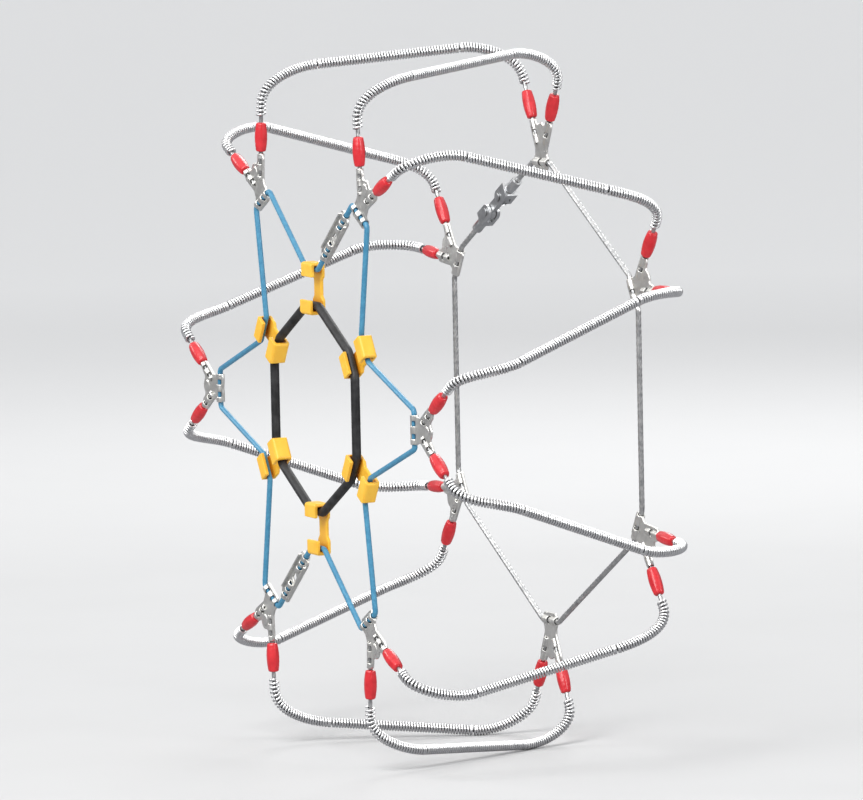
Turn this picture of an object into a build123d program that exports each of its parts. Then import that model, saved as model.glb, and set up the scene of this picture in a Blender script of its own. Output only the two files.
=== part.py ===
from build123d import *
import os
from collections import namedtuple
from math import cos, radians, sin

# A cable snow chain in the shape it takes on a tyre. The origin is the wheel's centre and the wheel's
# axis is Y: the outer side, with the rubber tensioner, faces -Y, and the inner side faces +Y.
# Six outer and six inner spreader plates are joined by twelve cross cables in a zig-zag over the tread.

# ---- driving dimensions: millimetres and degrees ----
TYRE_RADIUS = 317.0
TREAD_HALF_WIDTH = 62.0
SIDE_Y = 117.0
SECTORS = 6
SECTOR = 360 / SECTORS
HALF_SECTOR = SECTOR / 2
OUTER = -1
INNER = 1
GAP = 0.1
WHEEL_AXIS = Axis((0, 0, 0), (0, -1, 0))

# cross cables: a wire rope core, a red sleeve at each end and steel traction coils between the sleeves
CORE_RADIUS = 1.9
COIL_RADIUS = 4.7
COIL_BORE = 2.35
COIL_BREAK = 1.0
LOBE_RADIUS = 240.0
BEND_RADIUS = 290.0
EDGE_RADIUS = TYRE_RADIUS + COIL_RADIUS
LOBE_ANGLE = {OUTER: 3.1, INNER: 2.9}
BEND_ANGLE = {OUTER: 8.8, INNER: 7.0}
EDGE_ANGLE = {OUTER: 11.7, INNER: 9.8}
CORE_TAIL = 10.5
SLEEVE_START = 13.4
SLEEVE_LENGTH = 27.0
SLEEVE_WAIST = 4.4
SLEEVE_BELLY = 5.8
SLEEVE_TAPER = 7.0
COIL_START = 47.0

# spreader plates: pressed sheet with a cord tunnel along the heel and a cable tunnel in each lobe
SHEET = 2.2
HEEL_RADIUS = 204.8
HEEL_DEPTH = 15.0
HEEL_HALF = 13.5
HEEL_ROUND = 4.0
CORD_LINE = 212.0
WAIST_HALF = 11.8
LOBE_HALF = 6.5
LOBE_FOOT = 12.0
LOBE_TIP = 6.0
FOOT_OVERLAP = 2.0
WEB_CENTRE = 240.5
WEB_RADIUS = 8.0
HOLLOW_ROUND = 3.0
EDGE_ROUND = 0.6
BOSS_CENTRE = 239.5
BOSS_RADIUS = 5.4
BOSS_HEIGHT = 0.9
BOSS_TAPER = 35
TUNNEL_WALL = 1.3
HEEL_TUNNEL_INSET = 0.4
LOBE_TUNNEL_INSET = 0.6
PAST_MOUTH = 6.0
CUT_HEIGHT = 8.0
WINDOW_ROUND = 0.8
HEEL_WINDOW = 4.8
HEEL_WINDOW_STEP = 5.76
LOBE_WINDOW = 5.0
LOBE_FRONT_WINDOWS = (-6.6, 4.4)
LOBE_BACK_WINDOW = -1.1

# outer side cord: a star that runs from plate to hook to plate, in two halves
CORD_RADIUS = 2.5
CORD_BEND = 5.0
PLATE_CORNER = 17.5
HOOK_CORNER = 13.2
HOOK_CORD = 127.6

# joining bars: pressed channels where the two cord halves meet
BAR_LENGTH = 66.0
BAR_HALF = 8.5
BAR_ROUND = 4.5
BAR_SHEET = 2.0
BAR_LIP = 3.2
BAR_LIP_WIDTH = 1.6
BAR_LIP_INSET = 6.5
BAR_TUNNEL = 23.0
BAR_WINDOW = 4.4
BAR_FRONT_WINDOWS = (7.4, 15.6)
BAR_BACK_WINDOW = 11.5
BAR_BACK_WIDTH = 3.2
CORD_IN_BAR = 21.5
BAR_SECTORS = (1, 4)
TONGUE_WINDOW = 9.0
TONGUE_WINDOW_WIDTH = 6.4
TONGUE_WINDOW_ROUND = 1.0
TONGUE_WIDTH = 4.4
TONGUE_ROOT = 5.6
TONGUE_KNEE = 4.2
TONGUE_TIP = -3.4
TONGUE_RISE = 2.6
TONGUE_THICK = 1.4

# tensioner: a rubber hexagon pulled through six plastic hooks
RING_RADIUS = 4.25
RING_LINE = 94.0
RING_CORNER = 13.0
RING_BEND = 9.0
HOOK_FOOT = 86.0
HOOK_HEAD = 134.0
HOOK_HALF = 11.0
HOOK_WAIST = 7.5
HOOK_BACK = -7.8
HOOK_STRAP = 3.1
HOOK_WALL = 3.4
HOOK_FLARE = 3.4
HOOK_CURL_ROUND = 3.0
HOOK_EDGE_ROUND = 2.2
RING_HEADROOM = 0.4
RING_LIP = 5.45
CORD_HEADROOM = 0.5
CORD_LIP = 7.1

# inner closure: two swaged forks, their pins and one swinging hook
CLOSURE_ANGLE = 120.0
CLOSURE_HALF = 16.0
PIN_RADIUS = 2.5
PIN_HEAD = 1.4
PIN_HEAD_RADIUS = 4.0
FORK_HALF = 7.0
FORK_DEPTH = 6.2
FORK_LENGTH = 16.0
THROAT_RADIUS = 11.0
THROAT_PLAY = 0.3
BARREL_RADIUS = 4.8
BARREL_START = 15.0
BARREL_LENGTH = 20.0
SOCKET_DEPTH = 16.0
CABLE_END = 20.0
LINK_HALF = 2.5
LINK_EYE = 6.2
LINK_HEAD = 8.0
LINK_SHANK = 9.0
LINK_SHANK_OFFSET = 1.5
MOUTH_HALF = 2.8
MOUTH_SWEEP = 26.0
THROUGH = 20.0

CableEnd = namedtuple("CableEnd", "lobe bend edge way")


def station(angle, side):
    """The plane of one side of the chain: x is radial at this angle and z points away from the wheel."""
    radial = (cos(radians(angle)), 0, sin(radians(angle)))
    return Plane(origin=(0, side * SIDE_Y, 0), x_dir=radial, z_dir=(0, side, 0))


def wheel_point(radius, angle, y):
    return Vector(radius * cos(radians(angle)), y, radius * sin(radians(angle)))


def save(part, label):
    part.label = label
    export_step(part, f"parts/{label}.step")


def around(piece, label):
    """One group of six copies, a sector apart."""
    with BuildPart() as group:
        for sector in range(SECTORS):
            add(piece.rotate(WHEEL_AXIS, sector * SECTOR))
    save(group.part, label)


def cable_end(side, turn):
    """A cable's points in its lobe, over the shoulder and at the tread's edge, and its way off the plate."""
    centre = 0 if side == OUTER else turn * HALF_SECTOR
    lean = turn if side == OUTER else -turn
    lobe = wheel_point(LOBE_RADIUS, centre + lean * LOBE_ANGLE[side], side * SIDE_Y)
    bend = wheel_point(BEND_RADIUS, centre + lean * BEND_ANGLE[side], side * SIDE_Y)
    edge = wheel_point(EDGE_RADIUS, centre + lean * EDGE_ANGLE[side], side * TREAD_HALF_WIDTH)
    return CableEnd(lobe, bend, edge, (bend - lobe).normalized())


def swept_ring(route, radius, bore=0.0):
    """Sweeps a disc, or a ring when there is a bore, along the route."""
    with BuildSketch(Plane(origin=route @ 0, z_dir=route % 0)) as section:
        Circle(radius)
        if bore:
            Circle(bore, mode=Mode.SUBTRACT)
    sweep(section.sketch, path=route)


# ---- cross cables ----


def make_core(turn):
    near = cable_end(OUTER, turn)
    far = cable_end(INNER, turn)
    tread_way = (far.edge - near.edge).normalized()
    with BuildPart() as core:
        with BuildLine() as route:
            Line(near.lobe - near.way * CORE_TAIL, near.bend)
            Spline(near.bend, near.edge, tangents=(near.way, tread_way))
            Line(near.edge, far.edge)
            Spline(far.edge, far.bend, tangents=(tread_way, -far.way))
            Line(far.bend, far.lobe - far.way * CORE_TAIL)
        swept_ring(route.wire(), CORE_RADIUS)
    return core.part


def make_tread_coil(turn):
    edge = cable_end(OUTER, turn).edge
    far_edge = cable_end(INNER, turn).edge
    way = (far_edge - edge).normalized()
    with BuildPart() as coil:
        with BuildLine() as route:
            Line(edge + way * COIL_BREAK, far_edge - way * COIL_BREAK)
        swept_ring(route.wire(), COIL_RADIUS, COIL_BORE)
    return coil.part


def make_shoulder_coil(side, turn):
    end = cable_end(side, turn)
    tread_way = (cable_end(-side, turn).edge - end.edge).normalized()
    with BuildPart() as coil:
        with BuildLine() as route:
            Line(end.lobe + end.way * COIL_START, end.bend)
            Spline(end.bend, end.edge, tangents=(end.way, tread_way))
        swept_ring(route.wire(), COIL_RADIUS, COIL_BORE)
    return coil.part


def make_sleeve(side, turn):
    """A sleeve shrunk over the cable beside the plate, tapered at both ends."""
    end = cable_end(side, turn)
    start = end.lobe + end.way * SLEEVE_START
    bore = CORE_RADIUS + GAP
    with BuildPart() as sleeve:
        with BuildSketch(Plane(origin=start, x_dir=end.way, z_dir=(0, 1, 0))):
            with BuildLine():
                Polyline(
                    (0, bore),
                    (0, SLEEVE_WAIST),
                    (SLEEVE_TAPER, SLEEVE_BELLY),
                    (SLEEVE_LENGTH - SLEEVE_TAPER, SLEEVE_BELLY),
                    (SLEEVE_LENGTH, SLEEVE_WAIST),
                    (SLEEVE_LENGTH, bore),
                    close=True,
                )
            make_face()
        revolve(axis=Axis(start, end.way))
    return sleeve.part


# ---- pressed plates ----


def add_tunnel(start, end, bore):
    """A pressed round tunnel along a straight run of the sheet."""
    run = end - start
    with BuildSketch(Plane(origin=start, z_dir=run)) as section:
        Circle(bore + TUNNEL_WALL)
    extrude(section.sketch, amount=run.length)


def clear_tunnel(start, end, bore, past=0.0):
    """Bores a tunnel from its start, and past its end by a length."""
    run = end - start
    with BuildSketch(Plane(origin=start, z_dir=run)) as section:
        Circle(bore)
    extrude(section.sketch, amount=run.length + past, mode=Mode.SUBTRACT)


def cut_windows(seat, places, length, width, turn, front):
    """Square windows over a tunnel, open to the front or to the back of the sheet."""
    with BuildSketch(seat) as openings:
        with Locations(*places):
            RectangleRounded(length, width, WINDOW_ROUND, rotation=turn)
    extrude(openings.sketch, amount=CUT_HEIGHT if front else -CUT_HEIGHT, mode=Mode.SUBTRACT)


def seat_point(radius, angle):
    """A point of a cable in its plate's own seat."""
    return Vector(radius * cos(radians(angle)), radius * sin(radians(angle)))


def make_plate(side):
    seat = station(0, side)
    lobe = seat_point(LOBE_RADIUS, LOBE_ANGLE[side])
    bend = seat_point(BEND_RADIUS, BEND_ANGLE[side])
    way = (bend - lobe).normalized()
    lean = way.get_angle(Vector(1, 0, 0))
    foot = lobe - way * LOBE_FOOT
    tip = lobe + way * LOBE_TIP
    middle = (foot + tip) * 0.5
    cord_bore = CORD_RADIUS + GAP
    core_bore = CORE_RADIUS + GAP
    tunnel_width = 2 * (core_bore + TUNNEL_WALL)
    heel_tunnel = 2 * (cord_bore + TUNNEL_WALL)

    def flip(point, turn):
        return Vector(point.X, turn * point.Y)

    with BuildPart() as plate:
        with BuildSketch(seat):
            with Locations((HEEL_RADIUS + HEEL_DEPTH / 2, 0)):
                RectangleRounded(HEEL_DEPTH, 2 * HEEL_HALF, HEEL_ROUND)
            with BuildLine():
                Polyline(
                    (HEEL_RADIUS + HEEL_DEPTH / 2, -WAIST_HALF),
                    (foot.X + FOOT_OVERLAP, -WAIST_HALF),
                    (foot.X + FOOT_OVERLAP, WAIST_HALF),
                    (HEEL_RADIUS + HEEL_DEPTH / 2, WAIST_HALF),
                    close=True,
                )
            make_face()
            for turn in (1, -1):
                with Locations(flip(middle, turn)):
                    SlotCenterToCenter((tip - foot).length, 2 * LOBE_HALF, rotation=turn * lean)
            with Locations((WEB_CENTRE, 0)):
                Circle(WEB_RADIUS)
            offset(amount=HOLLOW_ROUND)
            offset(amount=-HOLLOW_ROUND)
        extrude(amount=SHEET / 2, both=True)
        fillet(plate.faces().filter_by(Axis.Y).edges(), EDGE_ROUND)
        with BuildSketch(seat.offset(SHEET / 2)):
            with Locations((BOSS_CENTRE, 0)):
                Circle(BOSS_RADIUS)
        extrude(amount=BOSS_HEIGHT, taper=BOSS_TAPER)

        heel_reach = HEEL_HALF - HEEL_TUNNEL_INSET
        heel_start = seat.from_local_coords(Vector(CORD_LINE, -heel_reach))
        heel_end = seat.from_local_coords(Vector(CORD_LINE, heel_reach))
        add_tunnel(heel_start, heel_end, cord_bore)
        runs = []
        for turn in (1, -1):
            run_start = seat.from_local_coords(flip(foot, turn))
            run_end = seat.from_local_coords(flip(tip + way * (LOBE_HALF - LOBE_TUNNEL_INSET), turn))
            runs.append((run_start, run_end))
            add_tunnel(run_start, run_end, core_bore)

        heel_windows = [(CORD_LINE, -HEEL_WINDOW_STEP), (CORD_LINE, HEEL_WINDOW_STEP)]
        cut_windows(seat, heel_windows, heel_tunnel, HEEL_WINDOW, 0, True)
        cut_windows(seat, [(CORD_LINE, 0)], heel_tunnel, HEEL_WINDOW, 0, False)
        for turn in (1, -1):
            front = [flip(lobe + way * place, turn) for place in LOBE_FRONT_WINDOWS]
            back = [flip(lobe + way * LOBE_BACK_WINDOW, turn)]
            cut_windows(seat, front, LOBE_WINDOW, tunnel_width, turn * lean, True)
            cut_windows(seat, back, LOBE_WINDOW, tunnel_width, turn * lean, False)
        clear_tunnel(heel_end, heel_start, cord_bore, PAST_MOUTH)
        clear_tunnel(heel_start, heel_end, cord_bore, PAST_MOUTH)
        for run_start, run_end in runs:
            clear_tunnel(run_start, run_end, core_bore, PAST_MOUTH)
    return plate.part


# ---- outer side cord and its joining bars ----


def side_corner(angle, radius, along):
    """A corner of the cord star: a radius at an angle, moved along the tangent."""
    return station(angle, OUTER).from_local_coords(Vector(radius, along))


def bar_line(sector):
    """The straight run of cord between a plate and the next hook, where a joining bar sits."""
    plate_corner = side_corner(sector * SECTOR, CORD_LINE, PLATE_CORNER)
    hook_corner = side_corner(sector * SECTOR + HALF_SECTOR, HOOK_CORD, -HOOK_CORNER)
    middle = (plate_corner + hook_corner) * 0.5
    way = (hook_corner - plate_corner).normalized()
    return middle, way


def make_cord(first_sector):
    """Half the star, from the inside of one joining bar to the inside of the other."""
    start_middle, start_way = bar_line(first_sector)
    end_middle, end_way = bar_line(first_sector + SECTORS // 2)
    reach = BAR_LENGTH / 2 - CORD_IN_BAR
    points = [start_middle + start_way * reach]
    for sector in range(first_sector, first_sector + SECTORS // 2):
        hook = sector * SECTOR + HALF_SECTOR
        points.append(side_corner(hook, HOOK_CORD, -HOOK_CORNER))
        points.append(side_corner(hook, HOOK_CORD, HOOK_CORNER))
        points.append(side_corner(hook + HALF_SECTOR, CORD_LINE, -PLATE_CORNER))
        points.append(side_corner(hook + HALF_SECTOR, CORD_LINE, PLATE_CORNER))
    points.append(end_middle - end_way * reach)
    with BuildPart() as cord:
        with BuildLine() as route:
            FilletPolyline(*points, radius=CORD_BEND)
        swept_ring(route.wire(), CORD_RADIUS)
    return cord.part


def make_bar(sector):
    middle, way = bar_line(sector)
    seat = Plane(origin=middle, x_dir=way, z_dir=(0, OUTER, 0))
    bore = CORD_RADIUS + GAP
    tunnel_width = 2 * (bore + TUNNEL_WALL)
    with BuildPart() as bar:
        with BuildSketch(seat):
            RectangleRounded(BAR_LENGTH, 2 * BAR_HALF, BAR_ROUND)
        extrude(amount=BAR_SHEET / 2, both=True)
        with BuildSketch(seat.offset(BAR_SHEET / 2)):
            with GridLocations(0, 2 * BAR_HALF - BAR_LIP_WIDTH, 1, 2):
                Rectangle(BAR_LENGTH - 2 * BAR_LIP_INSET, BAR_LIP_WIDTH)
        extrude(amount=BAR_LIP - BAR_SHEET / 2)
        runs = []
        for end in (-1, 1):
            mouth = middle + way * (end * BAR_LENGTH / 2)
            inside = middle + way * (end * (BAR_LENGTH / 2 - BAR_TUNNEL))
            runs.append((inside, mouth))
            add_tunnel(inside, mouth, bore)
        windows = [(end * (BAR_LENGTH / 2 - place), 0) for end in (-1, 1) for place in BAR_FRONT_WINDOWS]
        cut_windows(seat, windows, BAR_WINDOW, tunnel_width, 0, True)
        gaps = [(end * (BAR_LENGTH / 2 - BAR_BACK_WINDOW), 0) for end in (-1, 1)]
        cut_windows(seat, gaps, BAR_BACK_WIDTH, tunnel_width, 0, False)
        for inside, mouth in runs:
            clear_tunnel(inside, mouth, bore, PAST_MOUTH)
        with BuildSketch(seat.offset(-BAR_SHEET)):
            RectangleRounded(TONGUE_WINDOW, TONGUE_WINDOW_WIDTH, TONGUE_WINDOW_ROUND)
        extrude(amount=2 * BAR_SHEET, mode=Mode.SUBTRACT)
        # the tongue rises from the middle window's edge
        tongue_side = seat.from_local_coords(Vector(0, -TONGUE_WIDTH / 2, 0))
        half = TONGUE_THICK / 2
        with BuildSketch(Plane(origin=tongue_side, x_dir=way, z_dir=seat.y_dir)):
            with BuildLine():
                Polyline(
                    (TONGUE_ROOT, half),
                    (TONGUE_ROOT, -half),
                    (TONGUE_KNEE, -half),
                    (TONGUE_TIP, TONGUE_RISE),
                    (TONGUE_TIP, TONGUE_RISE + TONGUE_THICK),
                    (TONGUE_KNEE, half),
                    close=True,
                )
            make_face()
        extrude(amount=TONGUE_WIDTH)
    return bar.part


# ---- tensioner ----


def make_ring():
    corners = []
    for sector in range(SECTORS):
        hook = sector * SECTOR + HALF_SECTOR
        corners.append(side_corner(hook, RING_LINE, -RING_CORNER))
        corners.append(side_corner(hook, RING_LINE, RING_CORNER))
    with BuildPart() as ring:
        with BuildLine() as route:
            FilletPolyline(*corners, radius=RING_BEND, close=True)
        swept_ring(route.wire(), RING_RADIUS)
    return ring.part


def make_hook():
    """A strap on the wheel's side whose two ends curl round the ring and round the cord."""
    seat = station(0, OUTER)
    flank = seat.from_local_coords(Vector(0, -HOOK_HALF, 0))
    profile = Plane(origin=flank, x_dir=seat.x_dir, z_dir=seat.y_dir)
    floor = HOOK_BACK + HOOK_STRAP
    ring_roof = RING_RADIUS + RING_HEADROOM
    cord_roof = CORD_RADIUS + CORD_HEADROOM
    ring_lip = RING_LINE + RING_LIP
    cord_lip = HOOK_CORD - CORD_LIP
    with BuildPart() as hook:
        # the profile's own y runs towards the wheel, so heights away from the wheel are negative
        with BuildSketch(profile) as curls:
            with BuildLine():
                Polyline(
                    (HOOK_FOOT, -HOOK_BACK),
                    (HOOK_HEAD, -HOOK_BACK),
                    (HOOK_HEAD, -(cord_roof + HOOK_WALL)),
                    (cord_lip, -(cord_roof + HOOK_WALL)),
                    (cord_lip, -cord_roof),
                    (HOOK_HEAD - HOOK_WALL, -cord_roof),
                    (HOOK_HEAD - HOOK_WALL, -floor),
                    (HOOK_FOOT + HOOK_WALL, -floor),
                    (HOOK_FOOT + HOOK_WALL, -ring_roof),
                    (ring_lip, -ring_roof),
                    (ring_lip, -(ring_roof + HOOK_WALL)),
                    (HOOK_FOOT, -(ring_roof + HOOK_WALL)),
                    close=True,
                )
            make_face()
            columns = curls.vertices().group_by(Axis.X)
            fillet(columns[0] + columns[-1], HOOK_CURL_ROUND)
        extrude(amount=2 * HOOK_HALF)
        with BuildSketch(seat.offset(-THROUGH)) as outline:
            with BuildLine():
                Polyline(
                    (HOOK_FOOT, -HOOK_HALF),
                    (ring_lip, -HOOK_HALF),
                    (ring_lip + HOOK_FLARE, -HOOK_WAIST),
                    (cord_lip - HOOK_FLARE, -HOOK_WAIST),
                    (cord_lip, -HOOK_HALF),
                    (HOOK_HEAD, -HOOK_HALF),
                    (HOOK_HEAD, HOOK_HALF),
                    (cord_lip, HOOK_HALF),
                    (cord_lip - HOOK_FLARE, HOOK_WAIST),
                    (ring_lip + HOOK_FLARE, HOOK_WAIST),
                    (ring_lip, HOOK_HALF),
                    (HOOK_FOOT, HOOK_HALF),
                    close=True,
                )
            make_face()
            fillet(outline.vertices(), HOOK_EDGE_ROUND)
        extrude(amount=2 * THROUGH, mode=Mode.INTERSECT)
    return hook.part


# ---- inner side cable and its closure ----


def closure_point(along, height=0.0):
    """A point on the straight run of inner cable where the closure sits."""
    seat = station(CLOSURE_ANGLE, INNER)
    line = CORD_LINE * cos(radians(HALF_SECTOR)) + PLATE_CORNER * sin(radians(HALF_SECTOR))
    return seat.from_local_coords(Vector(line, along, height))


def make_inner_cable():
    cable_reach = CLOSURE_HALF + CABLE_END
    points = [closure_point(cable_reach)]
    for sector in range(SECTORS):
        angle = CLOSURE_ANGLE - HALF_SECTOR - sector * SECTOR
        seat = station(angle, INNER)
        points.append(seat.from_local_coords(Vector(CORD_LINE, -PLATE_CORNER)))
        points.append(seat.from_local_coords(Vector(CORD_LINE, PLATE_CORNER)))
    points.append(closure_point(-cable_reach))
    with BuildPart() as cable:
        with BuildLine() as route:
            FilletPolyline(*points, radius=CORD_BEND)
        swept_ring(route.wire(), CORD_RADIUS)
    return cable.part


def make_fork(end):
    """A fork swaged onto a cable end. Its two ears carry a pin."""
    way = station(CLOSURE_ANGLE, INNER).y_dir * end
    pin_seat = Plane(origin=closure_point(end * CLOSURE_HALF), x_dir=way, z_dir=(0, 1, 0))
    with BuildPart() as fork:
        with BuildSketch(pin_seat.offset(-FORK_DEPTH)):
            Circle(FORK_HALF)
            with Locations((FORK_LENGTH / 2, 0)):
                Rectangle(FORK_LENGTH, 2 * FORK_HALF)
        extrude(amount=2 * FORK_DEPTH)
        with BuildSketch(Plane(origin=closure_point(end * (CLOSURE_HALF + BARREL_START)), z_dir=way)):
            Circle(BARREL_RADIUS)
        extrude(amount=BARREL_LENGTH)
        throat_half = LINK_HALF + THROAT_PLAY
        with BuildSketch(pin_seat.offset(-throat_half)):
            Circle(THROAT_RADIUS)
            with Locations((-THROAT_RADIUS / 2, 0)):
                Rectangle(THROAT_RADIUS, 2 * THROAT_RADIUS)
        extrude(amount=2 * throat_half, mode=Mode.SUBTRACT)
        with BuildSketch(pin_seat.offset(-THROUGH)):
            Circle(PIN_RADIUS + GAP / 2)
        extrude(amount=2 * THROUGH, mode=Mode.SUBTRACT)
        barrel_end = CLOSURE_HALF + BARREL_START + BARREL_LENGTH
        with BuildSketch(Plane(origin=closure_point(end * barrel_end), z_dir=-way)):
            Circle(CORD_RADIUS + GAP)
        extrude(amount=SOCKET_DEPTH, mode=Mode.SUBTRACT)
    return fork.part


def make_pin(end):
    seat = Plane(origin=closure_point(end * CLOSURE_HALF), z_dir=(0, 1, 0))
    face = FORK_DEPTH + GAP
    with BuildPart() as pin:
        with BuildSketch(seat.offset(-face - PIN_HEAD)):
            Circle(PIN_RADIUS)
        extrude(amount=2 * (face + PIN_HEAD))
        for start in (-face - PIN_HEAD, face):
            with BuildSketch(seat.offset(start)):
                Circle(PIN_HEAD_RADIUS)
            extrude(amount=PIN_HEAD)
    return pin.part


def make_closing_hook():
    """A flat link that turns on one pin and drops over the other. Its mouth follows the pin's arc."""
    seat = Plane(
        origin=closure_point(-CLOSURE_HALF),
        x_dir=station(CLOSURE_ANGLE, INNER).x_dir,
        z_dir=(0, 1, 0),
    )
    reach = 2 * CLOSURE_HALF
    with BuildPart() as link:
        with BuildSketch(seat.offset(-LINK_HALF)):
            Circle(LINK_EYE)
            with Locations((0, reach)):
                Circle(LINK_HEAD)
            with Locations((LINK_SHANK_OFFSET, reach / 2)):
                Rectangle(LINK_SHANK, reach)
            Circle(PIN_RADIUS + GAP / 2, mode=Mode.SUBTRACT)
        extrude(amount=2 * LINK_HALF)
        with BuildSketch(seat.offset(-LINK_HALF)):
            with BuildLine():
                CenterArc((0, 0), reach, 90, MOUTH_SWEEP)
            trace(line_width=2 * MOUTH_HALF)
            with Locations((0, reach)):
                Circle(MOUTH_HALF)
        extrude(amount=2 * LINK_HALF, mode=Mode.SUBTRACT)
    return link.part


def main():
    os.makedirs("parts", exist_ok=True)
    outer_plate = make_plate(OUTER)
    inner_plate = make_plate(INNER)
    hook = make_hook()
    cores = {turn: make_core(turn) for turn in (1, -1)}
    coils = {turn: make_tread_coil(turn) for turn in (1, -1)}
    for sector in range(SECTORS):
        at = sector * SECTOR
        save(outer_plate.rotate(WHEEL_AXIS, at), f"outer_plate_{sector + 1}")
        save(inner_plate.rotate(WHEEL_AXIS, at + HALF_SECTOR), f"inner_plate_{sector + 1}")
        save(hook.rotate(WHEEL_AXIS, at + HALF_SECTOR), f"hook_{sector + 1}")
    for number in range(2 * SECTORS):
        turn = 1 if number % 2 == 0 else -1
        at = (number + 1) // 2 * SECTOR
        save(cores[turn].rotate(WHEEL_AXIS, at), f"cross_cable_{number + 1}")
        save(coils[turn].rotate(WHEEL_AXIS, at), f"tread_coil_{number + 1}")

    for side, name in ((OUTER, "outer"), (INNER, "inner")):
        with BuildPart() as coil_pair:
            for turn in (1, -1):
                add(make_shoulder_coil(side, turn))
        around(coil_pair.part, f"{name}_shoulder_coils")
        with BuildPart() as sleeve_pair:
            for turn in (1, -1):
                add(make_sleeve(side, turn))
        around(sleeve_pair.part, f"{name}_sleeves")

    for number, sector in enumerate(BAR_SECTORS, start=1):
        save(make_cord(sector), f"side_cord_{number}")
        save(make_bar(sector), f"joining_bar_{number}")
    save(make_ring(), "tensioner_ring")
    save(make_inner_cable(), "inner_side_cable")
    save(make_fork(-1), "hook_fork")
    save(make_fork(1), "catch_fork")
    save(make_pin(-1), "hook_pin")
    save(make_pin(1), "catch_pin")
    save(make_closing_hook(), "closing_hook")


main()
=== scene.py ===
import math
from collections import namedtuple

import bpy
import numpy as np
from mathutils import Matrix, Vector

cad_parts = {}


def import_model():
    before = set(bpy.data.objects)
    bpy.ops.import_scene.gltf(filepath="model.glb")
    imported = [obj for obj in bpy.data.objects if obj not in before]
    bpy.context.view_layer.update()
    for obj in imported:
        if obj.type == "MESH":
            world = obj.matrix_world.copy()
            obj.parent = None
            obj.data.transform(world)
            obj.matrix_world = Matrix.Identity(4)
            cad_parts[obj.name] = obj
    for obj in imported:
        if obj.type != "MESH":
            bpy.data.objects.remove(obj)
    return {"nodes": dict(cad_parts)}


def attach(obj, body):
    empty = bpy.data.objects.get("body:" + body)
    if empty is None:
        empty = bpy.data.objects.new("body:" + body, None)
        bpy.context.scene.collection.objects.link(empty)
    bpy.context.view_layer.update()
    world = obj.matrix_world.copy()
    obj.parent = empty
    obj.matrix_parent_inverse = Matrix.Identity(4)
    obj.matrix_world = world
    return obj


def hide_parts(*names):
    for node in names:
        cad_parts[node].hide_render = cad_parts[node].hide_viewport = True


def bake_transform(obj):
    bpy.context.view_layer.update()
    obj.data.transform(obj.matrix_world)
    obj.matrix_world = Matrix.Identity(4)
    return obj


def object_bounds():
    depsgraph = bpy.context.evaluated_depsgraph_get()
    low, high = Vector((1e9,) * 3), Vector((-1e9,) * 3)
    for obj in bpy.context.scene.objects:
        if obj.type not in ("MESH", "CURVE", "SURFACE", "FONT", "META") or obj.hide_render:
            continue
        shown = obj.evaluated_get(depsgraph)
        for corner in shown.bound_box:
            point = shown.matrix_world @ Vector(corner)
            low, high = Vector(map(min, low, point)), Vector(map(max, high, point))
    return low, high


# The looks of a cable snow chain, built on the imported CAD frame. Metres; the wheel's axis is Y,
# -Y is the outer side and the origin is the wheel's centre.

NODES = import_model()["nodes"]
CAD_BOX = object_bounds()

SECTORS = 6
SECTOR = math.radians(60)
HALF_SECTOR = SECTOR / 2
OUTER, INNER = -1, 1

# places that the CAD gives to the cross cables
SIDE_Y = 0.117
TREAD_HALF_WIDTH = 0.062
LOBE_RADIUS = 0.240
BEND_RADIUS = 0.290
EDGE_RADIUS = 0.3217
LOBE_ANGLE = {OUTER: math.radians(3.1), INNER: math.radians(2.9)}
BEND_ANGLE = {OUTER: math.radians(8.8), INNER: math.radians(7.0)}
EDGE_ANGLE = {OUTER: math.radians(11.7), INNER: math.radians(9.8)}
CORE_TAIL = 0.0105
CORE_RADIUS = 0.0019
COIL_START = 0.047
COIL_BREAK = 0.001
COIL_RADIUS = 0.0047
SLEEVE_START = 0.0134
SLEEVE_LENGTH = 0.027

# places that the CAD gives to the side cords, the closure and the tensioner
CORD_RADIUS = 0.0025
CORD_LINE = 0.212
CORD_BEND = 0.005
PLATE_CORNER = 0.0175
HOOK_CORD = 0.1276
HOOK_CORNER = 0.0132
BAR_LENGTH = 0.066
CORD_IN_BAR = 0.0215
BAR_SECTORS = (1, 4)
CLOSURE_ANGLE = math.radians(120)
CLOSURE_CABLE = 0.036
RING_RADIUS = 0.00425
RING_LINE = 0.094
RING_CORNER = 0.013
RING_BEND = 0.009

# the wound wire of the coils, in metres and in turns; a phase is where a coil's wire starts, in radians
WIRE_RADIUS = 0.0011
WIRE_SIDES = 8
STEPS_PER_TURN = 16
TIGHT_PITCH = 0.0026
OPEN_PITCH = 0.0037
OPEN_RUN = 0.060
TREAD_PHASE = 0.7
SHOULDER_PHASE = 1.1

# the shrunk sleeves
SLEEVE_SIDES = 40
SLEEVE_RINGS = 56
SLEEVE_WAIST = 0.0044
SLEEVE_BULGE = 0.0014
SLEEVE_LIP = 0.0014
SLEEVE_MOUTH = 0.25
SLEEVE_FACETS = 6
SLEEVE_FACET = 0.00016
SLEEVE_RIPPLES = 40
SLEEVE_RIPPLE = 0.00003
SLEEVE_SEED = 11

# the moulding seam of the rubber ring
RING_SIDES = 40
SEAM_RISE = 0.00012
SEAM_WIDTH = 0.12
END_SUPPORT = 0.02

# how finely routes are drawn
ROUTE_STEP = 0.0012
BLUE_CORD_STEP = 0.0011
ARC_POINTS = 12
CURVE_SLACK = 1.15
ROPE_END_ROUND = 0.35

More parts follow.
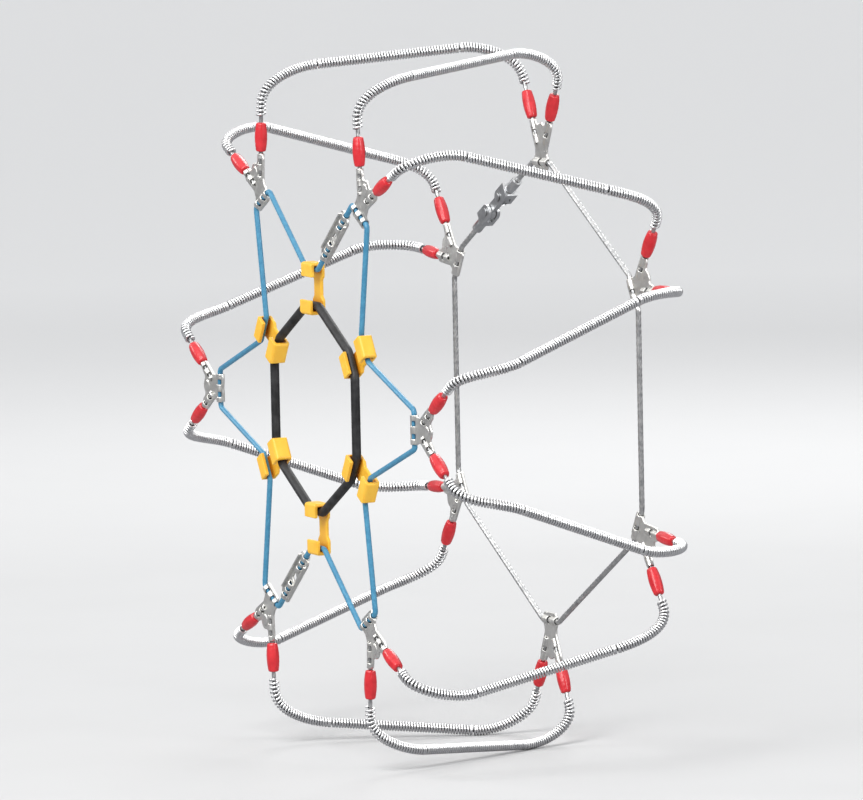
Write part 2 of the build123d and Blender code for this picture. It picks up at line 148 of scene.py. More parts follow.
# strands in a rope, the length of one turn of a strand, the depth between strands, and sides
Lay = namedtuple("Lay", "strands turn depth sides")
CROSS_LAY = Lay(6, 0.026, 0.16, 36)
BLUE_LAY = Lay(8, 0.030, 0.07, 40)
SIDE_LAY = Lay(6, 0.034, 0.15, 36)

# the voxel of a remesh and the rounds of smoothing that soften a part's edges
Softness = namedtuple("Softness", "voxel rounds")
PRESSED_PLATE = Softness(0.00045, 3)
PRESSED_BAR = Softness(0.0004, 3)
MOULDED_HOOK = Softness(0.0005, 8)

# broken edges of the closure's parts
WELD_REACH = 0.00001
EDGE_BREAK = 0.0004
BEVEL_ANGLE = math.radians(30)

BLACK = (0, 0, 0)
WHITE = (1, 1, 1)


# ---- places on the wheel ----


def wheel_point(radius, angle, y):
    return np.array((radius * math.cos(angle), y, radius * math.sin(angle)))


def side_point(angle, side, radius, along):
    """A point on one side: at a radius, then moved along the tangent of that side's own seat."""
    radial = np.array((math.cos(angle), 0, math.sin(angle)))
    tangent = np.cross((0, side, 0), radial)
    return radial * radius + tangent * along + np.array((0, side * SIDE_Y, 0))


def unit(vector):
    return vector / np.linalg.norm(vector)


def cable_end(side, turn):
    """A cable's lobe, its bend over the shoulder, its place at the tread's edge, and its first direction."""
    centre = 0 if side == OUTER else turn * HALF_SECTOR
    lean = turn if side == OUTER else -turn
    lobe = wheel_point(LOBE_RADIUS, centre + lean * LOBE_ANGLE[side], side * SIDE_Y)
    bend = wheel_point(BEND_RADIUS, centre + lean * BEND_ANGLE[side], side * SIDE_Y)
    edge = wheel_point(EDGE_RADIUS, centre + lean * EDGE_ANGLE[side], side * TREAD_HALF_WIDTH)
    return lobe, bend, edge, unit(bend - lobe)


def turned(points, angle):
    """Points turned about the wheel's axis, from +X towards +Z."""
    c, s = math.cos(angle), math.sin(angle)
    return points @ np.array(((c, 0, s), (0, 1, 0), (-s, 0, c)))


# ---- routes: arrays of evenly spaced points ----


def distances(points):
    """How far along the route each point is."""
    return np.concatenate(([0], np.cumsum(np.linalg.norm(np.diff(points, axis=0), axis=1))))


def straight(start, end, step):
    count = max(2, int(np.ceil(np.linalg.norm(end - start) / step)) + 1)
    return start + np.linspace(0, 1, count)[:, None] * (end - start)


def hermite(start, end, start_way, end_way, step):
    """A smooth curve that leaves start and reaches end in the two given directions."""
    chord = np.linalg.norm(end - start)
    t = np.linspace(0, 1, int(np.ceil(CURVE_SLACK * chord / step)) + 1)[:, None]
    t2, t3 = t * t, t * t * t
    return (
        (2 * t3 - 3 * t2 + 1) * start
        + (t3 - 2 * t2 + t) * chord * start_way
        + (3 * t2 - 2 * t3) * end
        + (t3 - t2) * chord * end_way
    )


def joined(*runs):
    """One route from runs that share their end points."""
    parts = [runs[0]] + [run[1:] for run in runs[1:]]
    return np.concatenate(parts)


def even(points, step):
    """The same route with points a step apart."""
    lengths = distances(points)
    count = max(2, int(round(lengths[-1] / step)) + 1)
    at = np.linspace(0, lengths[-1], count)
    return np.stack([np.interp(at, lengths, points[:, i]) for i in range(3)], axis=1)


def rounded(corners, bend, step):
    """Straight runs between corners, with an arc of one radius at each corner."""
    count = len(corners)
    runs = []
    for i in range(count):
        corner = corners[i]
        if i in (0, count - 1):
            runs.append(corner[None])
            continue
        before = unit(corners[i - 1] - corner)
        after = unit(corners[i + 1] - corner)
        half = math.acos(np.clip(before @ after, -1, 1)) / 2
        back = bend / math.tan(half)
        centre = corner + unit(before + after) * bend / math.sin(half)
        sweep = math.pi - 2 * half
        t = np.linspace(0, 1, ARC_POINTS)[:, None]
        first = corner + before * back - centre
        last = corner + after * back - centre
        arc = (np.sin((1 - t) * sweep) * first + np.sin(t * sweep) * last) / math.sin(sweep)
        runs.append(centre + arc)
    return even(np.concatenate(runs), step)


def frames(points):
    """Two side vectors that turn as little as they can along the route."""
    tangents = np.gradient(points, axis=0)
    tangents /= np.linalg.norm(tangents, axis=1)[:, None]
    seed = np.array((0.0, 1.0, 0.0)) if abs(tangents[0][1]) < 0.9 else np.array((1.0, 0.0, 0.0))
    normals = np.empty_like(points)
    normal = unit(seed - tangents[0] * (seed @ tangents[0]))
    for i, tangent in enumerate(tangents):
        normal = unit(normal - tangent * (normal @ tangent))
        normals[i] = normal
    return normals, np.cross(tangents, normals)


# ---- meshes ----


def mesh_object(name, vertices, faces, material):
    """A smooth mesh whose many-sided end caps stay flat."""
    mesh = bpy.data.meshes.new(name)
    mesh.from_pydata(vertices.tolist(), [], faces)
    mesh.polygons.foreach_set("use_smooth", [len(face) == 4 for face in faces])
    mesh.materials.append(material)
    mesh.update()
    piece = bpy.data.objects.new(name, mesh)
    bpy.context.scene.collection.objects.link(piece)
    return piece


def skin(rings, first):
    """Vertices and faces of a closed skin over rings of points, its vertices numbered from first."""
    count, sides = rings.shape[0], rings.shape[1]
    vertices = rings.reshape(-1, 3)
    row = np.arange(count - 1)[:, None] * sides
    col = np.arange(sides)
    after = (col + 1) % sides
    quads = np.stack(
        (row + col, row + after, row + sides + after, row + sides + col), axis=2
    ).reshape(-1, 4)
    caps = [list(range(sides))[::-1], list(range((count - 1) * sides, count * sides))]
    faces = (quads + first).tolist() + [[i + first for i in cap] for cap in caps]
    return vertices, faces


def lofted(points, normals, binormals, radii, angles):
    """Rings of points round a route. radii is a number for each ring and angle."""
    ring = normals[:, None] * np.cos(angles)[..., None] + binormals[:, None] * np.sin(angles)[..., None]
    return points[:, None] + ring * radii[..., None]


def ring_angles(count, sides):
    return np.linspace(0, 2 * math.pi, sides, endpoint=False)[None].repeat(count, 0)


def rounded_ends(count, length, radius):
    """A scale for each ring that draws a rod's two ends in over its own radius."""
    at = np.linspace(0, length, count)
    near = np.clip(np.minimum(at, length - at) / radius, 0, 1)
    return np.sqrt(np.clip(1 - (1 - near) ** 2, 0.02, 1))


def route_length(points):
    return np.linalg.norm(np.diff(points, axis=0), axis=1).sum()


def rope_rings(points, radius, lay):
    """A rod whose skin is a bundle of strands laid in a spiral, one turn in each lay."""
    normals, binormals = frames(points)
    along = np.linspace(0, route_length(points), len(points))
    angles = ring_angles(len(points), lay.sides)
    phase = (angles - 2 * math.pi * along[:, None] / lay.turn) * lay.strands / 2
    radii = radius * (1 - lay.depth + lay.depth * np.abs(np.cos(phase)))
    scale = rounded_ends(len(points), route_length(points), radius * ROPE_END_ROUND)
    return lofted(points, normals, binormals, radii * scale[:, None], angles)


def coil_rings(points, pitches, start_phase, closed_start=False):
    """The wire of a coil wound round a route, with a pitch for each of the route's points.

    The coil's last turn lies flat against the end before it, and so does the first when closed_start."""
    normals, binormals = frames(points)
    along = distances(points)
    turns = np.concatenate(([0], np.cumsum(np.diff(along) * 2 / (pitches[1:] + pitches[:-1]))))
    first = -1 if closed_start else 0
    count = int((turns[-1] + 1 - first) * STEPS_PER_TURN) + 1
    at_turn = np.linspace(first, turns[-1] + 1, count)
    at = np.interp(at_turn, turns, along)

    def carried(values):
        return np.stack([np.interp(at, along, values[:, i]) for i in range(3)], axis=1)

    angle = start_phase + 2 * math.pi * at_turn[:, None]
    out = carried(normals) * np.cos(angle) + carried(binormals) * np.sin(angle)
    out /= np.linalg.norm(out, axis=1)[:, None]
    wire = carried(points) + out * (COIL_RADIUS - WIRE_RADIUS)
    way = np.gradient(wire, axis=0)
    way /= np.linalg.norm(way, axis=1)[:, None]
    across = np.cross(way, out)
    across /= np.linalg.norm(across, axis=1)[:, None]
    angles = ring_angles(count, WIRE_SIDES)
    scale = rounded_ends(count, route_length(wire), WIRE_RADIUS)
    return lofted(wire, out, across, WIRE_RADIUS * scale[:, None] * np.ones(angles.shape), angles)


def group(name, ring_sets, material):
    """One piece from several closed skins."""
    vertices, faces, first = [], [], 0
    for rings in ring_sets:
        part, part_faces = skin(rings, first)
        vertices.append(part)
        faces += part_faces
        first += len(part)
    return mesh_object(name, np.concatenate(vertices), faces, material)


def fit(piece, node, body="harness"):
    """Puts a visual piece in a CAD node's place, on the body that carries it."""
    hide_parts(node)
    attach(piece, body)


# ---- materials ----


class Shader:
    """A small helper to lay out one node material."""

    def __init__(self, name):
        self.material = bpy.data.materials.new(name)
        self.material.use_nodes = True
        self.nodes = self.material.node_tree.nodes
        self.links = self.material.node_tree.links
        self.base = self.nodes["Principled BSDF"]
        self.place = self.nodes.new("ShaderNodeTexCoord").outputs["Object"]

    def node(self, kind, **inputs):
        node = self.nodes.new(kind)
        for key, value in inputs.items():
            self.feed(node, key.replace("_", " "), value)
        return node

    def feed(self, node, key, value):
        if isinstance(value, bpy.types.NodeSocket):
            self.links.new(value, node.inputs[key])
        else:
            node.inputs[key].default_value = value

    def noise(self, scale, detail, roughness=0.55):
        node = self.node("ShaderNodeTexNoise", Scale=scale, Detail=detail, Roughness=roughness)
        self.links.new(self.place, node.inputs["Vector"])
        return node.outputs["Fac"]

    def cells(self, scale):
        """A different colour for each cell of a crystal-like pattern."""
        node = self.node("ShaderNodeTexVoronoi", Scale=scale)
        self.links.new(self.place, node.inputs["Vector"])
        return node.outputs["Color"]

    def ramp(self, value, *stops):
        node = self.nodes.new("ShaderNodeValToRGB")
        self.links.new(value, node.inputs["Fac"])
        elements = node.color_ramp.elements
        while len(elements) < len(stops):
            elements.new(0.5)
        for element, (at, color) in zip(elements, stops):
            element.position = at
            element.color = (*color, 1)
        return node.outputs["Color"]

    def between(self, value, low, high):
        """A value from 0 to 1, spread from low to high instead."""
        node = self.nodes.new("ShaderNodeMapRange")
        self.links.new(value, node.inputs["Value"])
        node.inputs["To Min"].default_value = low
        node.inputs["To Max"].default_value = high
        return node.outputs["Result"]

    def mix(self, factor, first, second):
        node = self.nodes.new("ShaderNodeMix")
        node.data_type = "RGBA"
        for key, value in (("Factor", factor), ("A", first), ("B", second)):
            socket = next(s for s in node.inputs if s.name == key and s.enabled)
            if isinstance(value, bpy.types.NodeSocket):
                self.links.new(value, socket)
            else:
                socket.default_value = value if isinstance(value, float) else (*value, 1)
        return next(s for s in node.outputs if s.enabled)

    def math(self, operation, first, second):
        node = self.nodes.new("ShaderNodeMath")
        node.operation = operation
        for i, value in enumerate((first, second)):
            if isinstance(value, bpy.types.NodeSocket):
                self.links.new(value, node.inputs[i])
            else:
                node.inputs[i].default_value = value
        return node.outputs[0]

    def bump(self, height, strength, distance):
        node = self.nodes.new("ShaderNodeBump")
        node.inputs["Strength"].default_value = strength
        node.inputs["Distance"].default_value = distance
        self.links.new(height, node.inputs["Height"])
        self.links.new(node.outputs["Normal"], self.base.inputs["Normal"])

    def shade_hollows(self, tone, reach, full_shade_stop, no_shade_stop, shade_tone):
        """The tone darkened towards a shade tone in its hollows, as painted shade: full up to the first stop
        of openness, none past the second.
        """
        openness = self.nodes.new("ShaderNodeAmbientOcclusion")
        openness.samples = 6
        openness.inputs["Distance"].default_value = reach
        share = self.ramp(openness.outputs["AO"], (full_shade_stop, WHITE), (no_shade_stop, BLACK))
        return self.mix(share, tone, shade_tone)

    def set(self, **inputs):
        for key, value in inputs.items():
            self.feed(self.base, key.replace("_", " "), value)
        return self.material


def galvanised():
    """Bright zinc on pressed sheet: faint spangle, dull patches and painted shade in the pressed hollows."""
    s = Shader("galvanised")
    flake = s.node("ShaderNodeSeparateColor", Color=s.cells(420)).outputs[0]
    cloud = s.noise(60, 6)
    tone = s.ramp(cloud, (0.3, (0.74, 0.73, 0.70)), (0.7, (0.93, 0.92, 0.87)))
    tone = s.mix(s.between(flake, 0.0, 0.45), tone, (0.97, 0.97, 0.95))
    # painted shade: the pressed hollows and the windows go dark grey
    tone = s.shade_hollows(tone, 0.004, 0.35, 0.85, (0.20, 0.20, 0.19))
    rough = s.math("ADD", s.between(flake, 0.26, 0.42), s.between(cloud, -0.04, 0.08))
    grain = s.math("ADD", s.noise(1800, 3), s.math("MULTIPLY", flake, 0.35))
    s.bump(grain, 0.22, 0.00025)
    return s.set(Base_Color=tone, Metallic=0.92, Roughness=rough)


def coil_steel():
    """Bright drawn wire with fine scratches and painted shade in the gaps between turns."""
    s = Shader("coil_steel")
    cloud = s.noise(180, 5)
    tone = s.ramp(cloud, (0.32, (0.84, 0.85, 0.86)), (0.62, (0.98, 0.98, 0.98)))
    # painted shade: the gaps between the turns go near black
    tone = s.shade_hollows(tone, 0.0016, 0.20, 0.60, (0.05, 0.05, 0.055))
    s.bump(s.noise(2600, 2), 0.12, 0.0002)
    return s.set(Base_Color=tone, Metallic=0.94, Roughness=s.between(cloud, 0.24, 0.36))


def wire_rope():
    """Galvanised rope strands, a little greyer than the coils."""
    s = Shader("wire_rope")
    cloud = s.noise(240, 4)
    tone = s.ramp(cloud, (0.3, (0.42, 0.43, 0.44)), (0.7, (0.78, 0.78, 0.77)))
    # painted shade: the lay between the strands goes near black
    tone = s.shade_hollows(tone, 0.0035, 0.30, 0.75, (0.03, 0.03, 0.03))
    s.bump(s.noise(3000, 2), 0.15, 0.0002)
    return s.set(Base_Color=tone, Metallic=0.9, Roughness=s.between(cloud, 0.28, 0.45))


def red_sleeve():
    """Glossy shrunk sleeve with soft mottling and small scuffs."""
    s = Shader("red_sleeve")
    cloud = s.noise(140, 5)
    scuff = s.ramp(s.noise(900, 6, 0.7), (0.62, BLACK), (0.72, WHITE))
    tone = s.ramp(cloud, (0.3, (0.56, 0.012, 0.020)), (0.7, (0.72, 0.024, 0.034)))
    tone = s.mix(s.math("MULTIPLY", scuff, 0.25), tone, (0.85, 0.25, 0.25))
    s.bump(s.noise(420, 3), 0.25, 0.0004)
    rough = s.between(cloud, 0.24, 0.42)
    return s.set(Base_Color=tone, Roughness=rough, Coat_Weight=0.35, Coat_Roughness=0.2)


def blue_cord():
    """A blue coated cord with painted shade: lighter on the strands' crowns, darker in the lay."""
    s = Shader("blue_cord")
    cloud = s.noise(300, 5)
    tone = s.ramp(cloud, (0.3, (0.040, 0.205, 0.360)), (0.7, (0.075, 0.300, 0.470)))
    # painted shade: the lay between the strands goes dark blue
    tone = s.shade_hollows(tone, 0.0035, 0.30, 0.85, (0.004, 0.03, 0.08))
    s.bump(s.noise(2200, 3), 0.25, 0.0003)
    return s.set(Base_Color=tone, Roughness=s.between(cloud, 0.30, 0.46), Coat_Weight=0.15)


def yellow_plastic():
    """Moulded satin plastic: painted shade turns its hollows a deeper orange, with a fine moulded grain."""
    s = Shader("yellow_plastic")
    cloud = s.noise(70, 5)
    tone = s.ramp(cloud, (0.3, (0.91, 0.48, 0.035)), (0.7, (0.95, 0.555, 0.055)))
    # painted shade: the hollows and inner sides go deeper orange
    tone = s.shade_hollows(tone, 0.006, 0.30, 0.90, (0.80, 0.27, 0.006))
    grain = s.math("ADD", s.noise(1500, 3), s.noise(260, 2))
    s.bump(grain, 0.16, 0.0003)
    return s.set(
        Base_Color=tone, Roughness=s.between(cloud, 0.34, 0.48),
        Subsurface_Weight=0.12, Subsurface_Radius=(0.006, 0.003, 0.001), Subsurface_Scale=1.0,
    )


def black_rubber():
    """Moulded rubber with a slight grey bloom."""
    s = Shader("black_rubber")
    bloom = s.noise(90, 6, 0.65)
    tone = s.ramp(bloom, (0.42, (0.010, 0.010, 0.011)), (0.72, (0.040, 0.040, 0.042)))
    s.bump(s.noise(1600, 4), 0.3, 0.0003)
    return s.set(Base_Color=tone, Roughness=s.between(bloom, 0.42, 0.62))


def plated_steel():
    """Zinc-plated closure parts, with tool marks."""
    s = Shader("plated_steel")
    cloud = s.noise(110, 5)
    tone = s.ramp(cloud, (0.3, (0.50, 0.51, 0.52)), (0.7, (0.76, 0.77, 0.78)))
    # painted shade: the hollows and gaps of the closure go dark grey
    tone = s.shade_hollows(tone, 0.003, 0.3, 0.8, (0.12, 0.12, 0.12))
    s.bump(s.noise(2400, 3), 0.2, 0.0002)
    return s.set(Base_Color=tone, Metallic=0.95, Roughness=s.between(cloud, 0.24, 0.40))


def floor_material():
    """A pale floor, paler beyond the lamps' reach. Metal sees it darker than the camera does."""
    s = Shader("pale_floor")
    tone = s.ramp(s.noise(6.0, 3), (0.3, (0.61, 0.61, 0.61)), (0.7, (0.62, 0.62, 0.62)))
    away = s.nodes.new("ShaderNodeVectorMath")
    away.operation = "LENGTH"
    s.links.new(s.place, away.inputs[0])
    beyond = s.nodes.new("ShaderNodeMapRange")
    s.links.new(away.outputs["Value"], beyond.inputs["Value"])
    beyond.inputs["From Min"].default_value = LAMP_REACH
    beyond.inputs["From Max"].default_value = FLOOR_FADE
    tone = s.mix(beyond.outputs["Result"], tone, (0.92, 0.92, 0.92))
    glossy = s.nodes.new("ShaderNodeLightPath").outputs["Is Glossy Ray"]
    tone = s.mix(glossy, tone, (0.20, 0.20, 0.21))
    return s.set(Base_Color=tone, Roughness=0.75, Specular_IOR_Level=0.2)


# ---- cross cables, coils and sleeves ----


def cable_pitches(points):
    """Open turns beside the sleeve, closing up towards the tread."""
    along = distances(points)
    close = np.clip(along / OPEN_RUN, 0, 1)
    return OPEN_PITCH + (TIGHT_PITCH - OPEN_PITCH) * close * close * (3 - 2 * close)


def build_cross_cables(rope, steel, red):
    side_coils = {OUTER: [], INNER: []}
    sleeves = {OUTER: [], INNER: []}
    for number in range(2 * SECTORS):
        turn = 1 if number % 2 == 0 else -1
        angle = (number + 1) // 2 * SECTOR
        lobe, bend, edge, way = cable_end(OUTER, turn)
        far_lobe, far_bend, far_edge, far_way = cable_end(INNER, turn)
        tread_way = unit(far_edge - edge)
        near_curve = hermite(bend, edge, way, tread_way, ROUTE_STEP)
        far_curve = hermite(far_edge, far_bend, tread_way, -far_way, ROUTE_STEP)
        route = joined(
            straight(lobe - way * CORE_TAIL, bend, ROUTE_STEP),
            near_curve,
            straight(edge, far_edge, ROUTE_STEP),
            far_curve,
            straight(far_bend, far_lobe - far_way * CORE_TAIL, ROUTE_STEP),
        )
        strands = rope_rings(turned(even(route, ROUTE_STEP), angle), CORE_RADIUS, CROSS_LAY)
        fit(group(f"cable_rope_{number + 1}", [strands], rope), f"cross_cable_{number + 1}")
        build_tread_coil(number, turned(edge, angle), turned(far_edge, angle), steel)

        for side, (at, to, out, curve) in {
            OUTER: (lobe, bend, way, near_curve),
            INNER: (far_lobe, far_bend, far_way, far_curve[::-1]),
        }.items():
            shoulder = joined(straight(at + out * COIL_START, to, ROUTE_STEP), curve)
            shoulder = turned(even(shoulder, ROUTE_STEP)[:-1], angle)
            phase = SHOULDER_PHASE * number + side
            side_coils[side].append(coil_rings(shoulder, cable_pitches(shoulder), phase))
            start = turned(at + out * SLEEVE_START, angle)
            sleeves[side].append(sleeve_rings(start, turned(out, angle), number))
    for side, name in ((OUTER, "outer"), (INNER, "inner")):
        coils = group(f"{name}_shoulder_wires", side_coils[side], steel)
        fit(coils, f"{name}_shoulder_coils")
        tubes = group(f"{name}_shrunk_sleeves", sleeves[side], red)
        fit(tubes, f"{name}_sleeves")


def build_tread_coil(number, edge, far_edge, steel):
    """The straight coil on the tread, which turns on its cable."""
    inset = unit(far_edge - edge) * (COIL_BREAK + WIRE_RADIUS)
    run = straight(edge + inset, far_edge - inset, ROUTE_STEP)
    wire = coil_rings(run, np.full(len(run), TIGHT_PITCH), TREAD_PHASE * number, closed_start=True)
    coil = group(f"tread_wire_{number + 1}", [wire], steel)
    fit(coil, f"tread_coil_{number + 1}", f"tread_coil_{number + 1}")


def sleeve_rings(start, way, number):
    """A barrel sleeve with six soft facets, drawn in at its ends."""
    random = np.random.default_rng(number + SLEEVE_SEED)
    t = np.linspace(0, 1, SLEEVE_RINGS)
    barrel = SLEEVE_WAIST + SLEEVE_BULGE * (1 - (2 * t - 1) ** 2)
    ends = np.minimum(t, 1 - t) * SLEEVE_LENGTH
    lip = np.sqrt(np.clip(1 - (1 - np.clip(ends / SLEEVE_LIP, 0, 1)) ** 2, 0.0, 1))
    radius = CORE_RADIUS + (barrel - CORE_RADIUS) * (SLEEVE_MOUTH + (1 - SLEEVE_MOUTH) * lip)
    angles = ring_angles(SLEEVE_RINGS, SLEEVE_SIDES)
    facet = SLEEVE_FACET * np.cos(SLEEVE_FACETS * angles + random.uniform(0, 6))
    ripple = SLEEVE_RIPPLE * np.sin(t[:, None] * SLEEVE_RIPPLES + 2 * np.cos(angles) + random.uniform(0, 6))
    points = start + t[:, None] * way * SLEEVE_LENGTH
    normals, binormals = frames(points)
    return lofted(points, normals, binormals, radius[:, None] + (facet + ripple) * lip[:, None], angles)


# ---- side cords ----


def bar_line(sector):
    """The middle of a joining bar and the direction of its cord, from plate to hook."""
    plate_corner = side_point(sector * SECTOR, OUTER, CORD_LINE, PLATE_CORNER)
    hook_corner = side_point(sector * SECTOR + HALF_SECTOR, OUTER, HOOK_CORD, -HOOK_CORNER)
    return (plate_corner + hook_corner) / 2, unit(hook_corner - plate_corner)


def build_side_cords(blue):
    for number, first in enumerate(BAR_SECTORS, start=1):
        middle, way = bar_line(first)
        end_middle, end_way = bar_line(first + SECTORS // 2)
        reach = BAR_LENGTH / 2 - CORD_IN_BAR
        corners = [middle + way * reach]
        for sector in range(first, first + SECTORS // 2):
            hook = sector * SECTOR + HALF_SECTOR
            corners.append(side_point(hook, OUTER, HOOK_CORD, -HOOK_CORNER))
            corners.append(side_point(hook, OUTER, HOOK_CORD, HOOK_CORNER))
            corners.append(side_point(hook + HALF_SECTOR, OUTER, CORD_LINE, -PLATE_CORNER))
            corners.append(side_point(hook + HALF_SECTOR, OUTER, CORD_LINE, PLATE_CORNER))
        corners.append(end_middle - end_way * reach)
        route = rounded(corners, CORD_BEND, BLUE_CORD_STEP)
        cord = group(f"blue_cord_{number}", [rope_rings(route, CORD_RADIUS, BLUE_LAY)], blue)
        fit(cord, f"side_cord_{number}")


def build_inner_cable(rope):
    line = CORD_LINE * math.cos(HALF_SECTOR) + PLATE_CORNER * math.sin(HALF_SECTOR)
    corners = [side_point(CLOSURE_ANGLE, INNER, line, CLOSURE_CABLE)]
    for sector in range(SECTORS):
        angle = CLOSURE_ANGLE - HALF_SECTOR - sector * SECTOR
        corners.append(side_point(angle, INNER, CORD_LINE, -PLATE_CORNER))
        corners.append(side_point(angle, INNER, CORD_LINE, PLATE_CORNER))
    corners.append(side_point(CLOSURE_ANGLE, INNER, line, -CLOSURE_CABLE))
    route = rounded(corners, CORD_BEND, ROUTE_STEP)
    cable = group("inner_rope", [rope_rings(route, CORD_RADIUS, SIDE_LAY)], rope)
    fit(cable, "inner_side_cable")


# ---- tensioner ----


def held_ends(route):
    """The route with one more point close to each end, so that flat ends don't bend the skin's shading."""
    first = route[:1] + END_SUPPORT * (route[1:2] - route[:1])
    last = route[-1:] + END_SUPPORT * (route[-2:-1] - route[-1:])
    return np.concatenate((route[:1], first, route[1:-1], last, route[-1:]))


def build_ring(rubber):
    """The rubber hexagon in twelve runs, each from the middle of a side to the middle of a hook."""
    for number in range(SECTORS):
        hook = number * SECTOR + HALF_SECTOR
        centre = side_point(hook, OUTER, RING_LINE, 0)
        for turn, name in ((1, "a"), (-1, "b")):
            corner = side_point(hook, OUTER, RING_LINE, turn * RING_CORNER)
            next_corner = side_point(hook + turn * SECTOR, OUTER, RING_LINE, -turn * RING_CORNER)
            side_middle = (corner + next_corner) / 2
            route = held_ends(rounded([side_middle, corner, centre], RING_BEND, ROUTE_STEP))
            normals, binormals = frames(route)
            angles = ring_angles(len(route), RING_SIDES)
            seam = SEAM_RISE * np.exp(-((np.sin(angles) / SEAM_WIDTH) ** 2))
            rings = lofted(route, normals, binormals, RING_RADIUS - SEAM_RISE + seam, angles)
            piece = group(f"rubber_ring_{number + 1}{name}", [rings], rubber)
            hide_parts("tensioner_ring")
            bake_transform(piece)


# ---- pressed, moulded and forged parts keep their CAD shape ----


def painted(node, material):
    piece = NODES[node]
    piece.data.materials.clear()
    piece.data.materials.append(material)
    return piece


def soften(piece, softness):
    """Rounds a part's sharp edges as pressing or moulding does, with modifiers only."""
    remesh = piece.modifiers.new("Remesh", "REMESH")
    remesh.mode = "VOXEL"
    remesh.voxel_size = softness.voxel
    remesh.use_smooth_shade = True
    smooth = piece.modifiers.new("Smooth", "SMOOTH")
    smooth.factor = 0.5
    smooth.iterations = softness.rounds


def bevel(piece):
    """Breaks a part's machined edges and leaves its flat faces and straight edges true."""
    weld = piece.modifiers.new("Weld", "WELD")
    weld.merge_threshold = WELD_REACH
    edges = piece.modifiers.new("Bevel", "BEVEL")
    edges.width = EDGE_BREAK
    edges.segments = 3
    edges.limit_method = "ANGLE"
    edges.angle_limit = BEVEL_ANGLE
    edges.harden_normals = True


def build_hardware(zinc, yellow, plated):
    for number in range(1, SECTORS + 1):
        soften(painted(f"outer_plate_{number}", zinc), PRESSED_PLATE)
        soften(painted(f"inner_plate_{number}", zinc), PRESSED_PLATE)
        soften(painted(f"hook_{number}", yellow), MOULDED_HOOK)
    for number in (1, 2):
        soften(painted(f"joining_bar_{number}", zinc), PRESSED_BAR)
    for node in ("hook_fork", "catch_fork", "closing_hook", "hook_pin", "catch_pin"):
        bevel(painted(node, plated))


# ---- studio ----

FLOOR_RADIUS = 20.0
FLOOR_SIDES = 96
RIM_BEND = 6.0
RIM_START = 0.1
LAMP_REACH = 1.4
FLOOR_FADE = 4.6

CAMERA_AZIMUTH = 64.8
CAMERA_ELEVATION = 6.2
CAMERA_ROLL = math.radians(-1.2)
CAMERA_DISTANCE = 8.0
SENSOR_WIDTH = 36.0
PICTURE_ASPECT = 863 / 800
FILL = 0.88
FAR_CLIP = 60

SKY_COLOR = (0.95, 0.97, 1.0, 1)
SKY_STRENGTH = 0.42
SEEN_BY_METAL = ((0.0, 0.05), (0.25, 0.12), (0.45, 0.75), (0.8, 1.1))

SUN_STRENGTH = 1.35
SUN_SPREAD = math.radians(30)
SUN_AZIMUTH = 35
SUN_ELEVATION = 58
SUN_DISTANCE = 5
Lamp = namedtuple("Lamp", "name azimuth elevation distance size power")
LAMPS = (
    Lamp("key", 30, 30, 2.6, 1.1, 30),
    Lamp("side", 118, 22, 2.8, 0.8, 20),
    Lamp("back", 232, 32, 3.0, 1.2, 26),
    Lamp("far", 310, 25, 3.0, 0.8, 16),
)


def look_at(thing, target):
    thing.rotation_euler = (Vector(target) - thing.location).to_track_quat("-Z", "Y").to_euler()


def build_floor(level):
    """A round floor whose far rim curves up, so that it has no horizon from any side."""
    profile = [(FLOOR_RADIUS, 0.0)]
    for angle in np.linspace(RIM_START, math.pi / 2, ARC_POINTS):
        profile.append((FLOOR_RADIUS + RIM_BEND * math.sin(angle), RIM_BEND * (1 - math.cos(angle))))
    vertices, faces = [], [list(range(FLOOR_SIDES))]
    for radius, rise in profile:
        for i in range(FLOOR_SIDES):
            turn = 2 * math.pi * i / FLOOR_SIDES
            vertices.append((radius * math.cos(turn), radius * math.sin(turn), level + rise))
    for ring in range(len(profile) - 1):
        for i in range(FLOOR_SIDES):
            a, b = ring * FLOOR_SIDES + i, ring * FLOOR_SIDES + (i + 1) % FLOOR_SIDES
            faces.append([a, a + FLOOR_SIDES, b + FLOOR_SIDES, b])
    floor = mesh_object("floor", np.array(vertices), faces, floor_material())


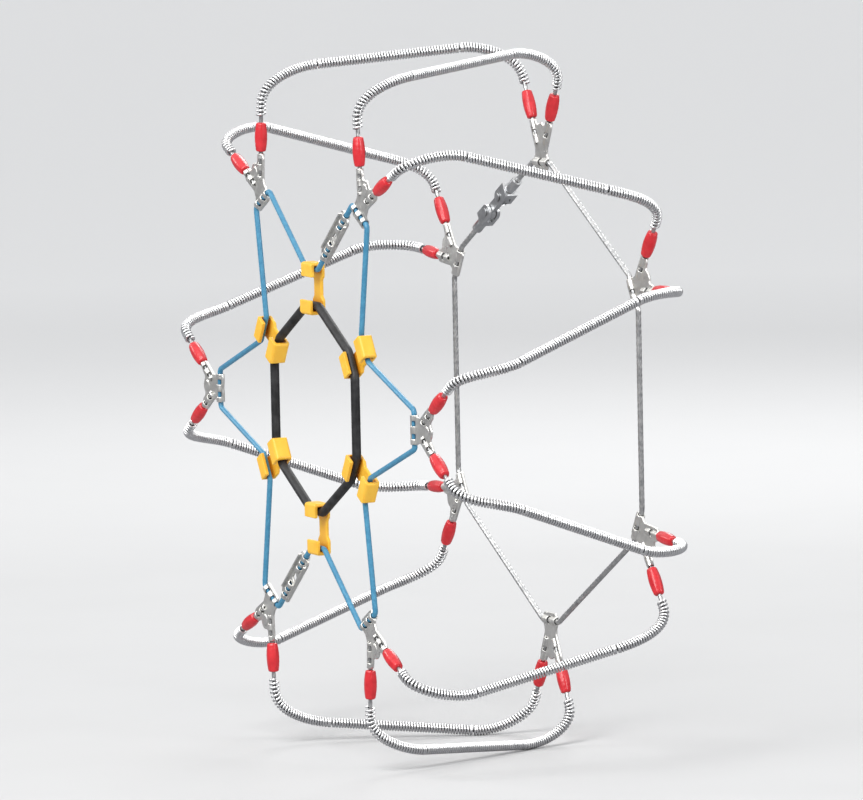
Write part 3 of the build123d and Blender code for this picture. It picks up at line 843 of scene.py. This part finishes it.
def build_world():
    """Soft even light. Metal sees it dark below and bright above, which gives it its contrast."""
    world = bpy.data.worlds.new("studio")
    world.use_nodes = True
    nodes, links = world.node_tree.nodes, world.node_tree.links
    sky = nodes["Background"]
    sky.inputs["Color"].default_value = SKY_COLOR
    sky.inputs["Strength"].default_value = SKY_STRENGTH
    seen = nodes.new("ShaderNodeBackground")
    place = nodes.new("ShaderNodeTexCoord")
    height = nodes.new("ShaderNodeSeparateXYZ")
    links.new(place.outputs["Generated"], height.inputs[0])
    ramp = nodes.new("ShaderNodeValToRGB")
    links.new(height.outputs["Z"], ramp.inputs["Fac"])
    while len(ramp.color_ramp.elements) < len(SEEN_BY_METAL):
        ramp.color_ramp.elements.new(0.5)
    for element, (at, tone) in zip(ramp.color_ramp.elements, SEEN_BY_METAL):
        element.position = at
        element.color = (tone, tone, tone, 1)
    links.new(ramp.outputs["Color"], seen.inputs["Color"])
    mix = nodes.new("ShaderNodeMixShader")
    links.new(nodes.new("ShaderNodeLightPath").outputs["Is Glossy Ray"], mix.inputs["Fac"])
    links.new(sky.outputs[0], mix.inputs[1])
    links.new(seen.outputs[0], mix.inputs[2])
    links.new(mix.outputs[0], nodes["World Output"].inputs["Surface"])
    bpy.context.scene.world = world


def aim(azimuth, elevation):
    """The direction to a place round the object: azimuth 0 is at -Y and 90 at +X, in degrees."""
    a, e = math.radians(azimuth), math.radians(elevation)
    return Vector((math.sin(a) * math.cos(e), -math.cos(a) * math.cos(e), math.sin(e)))


def build_lights():
    sun_data = bpy.data.lights.new("sun", "SUN")
    sun_data.energy = SUN_STRENGTH
    sun_data.angle = SUN_SPREAD
    sun = bpy.data.objects.new("sun", sun_data)
    sun.location = aim(SUN_AZIMUTH, SUN_ELEVATION) * SUN_DISTANCE
    look_at(sun, (0, 0, 0))
    bpy.context.scene.collection.objects.link(sun)
    for lamp in LAMPS:
        light_data = bpy.data.lights.new(lamp.name, "AREA")
        light_data.energy = lamp.power
        light_data.size = lamp.size
        light = bpy.data.objects.new(lamp.name, light_data)
        light.location = aim(lamp.azimuth, lamp.elevation) * lamp.distance
        look_at(light, (0, 0, 0))
        bpy.context.scene.collection.objects.link(light)


def build_camera(height):
    camera_data = bpy.data.cameras.new("camera")
    camera = bpy.data.objects.new("camera", camera_data)
    camera.location = aim(CAMERA_AZIMUTH, CAMERA_ELEVATION) * CAMERA_DISTANCE
    look_at(camera, (0, 0, 0))
    camera.rotation_euler.rotate_axis("Z", CAMERA_ROLL)
    camera_data.sensor_width = SENSOR_WIDTH
    shown = height / FILL * PICTURE_ASPECT
    camera_data.lens = SENSOR_WIDTH * CAMERA_DISTANCE / shown
    camera_data.clip_end = FAR_CLIP
    bpy.context.scene.collection.objects.link(camera)
    bpy.context.scene.camera = camera


zinc, steel, rope = galvanised(), coil_steel(), wire_rope()
build_cross_cables(rope, steel, red_sleeve())
build_side_cords(blue_cord())
build_inner_cable(rope)
build_ring(black_rubber())
build_hardware(zinc, yellow_plastic(), plated_steel())
build_floor(CAD_BOX[0][2])
build_world()
build_lights()
build_camera(CAD_BOX[1][2] - CAD_BOX[0][2])
bpy.context.scene.view_settings.view_transform = "Standard"
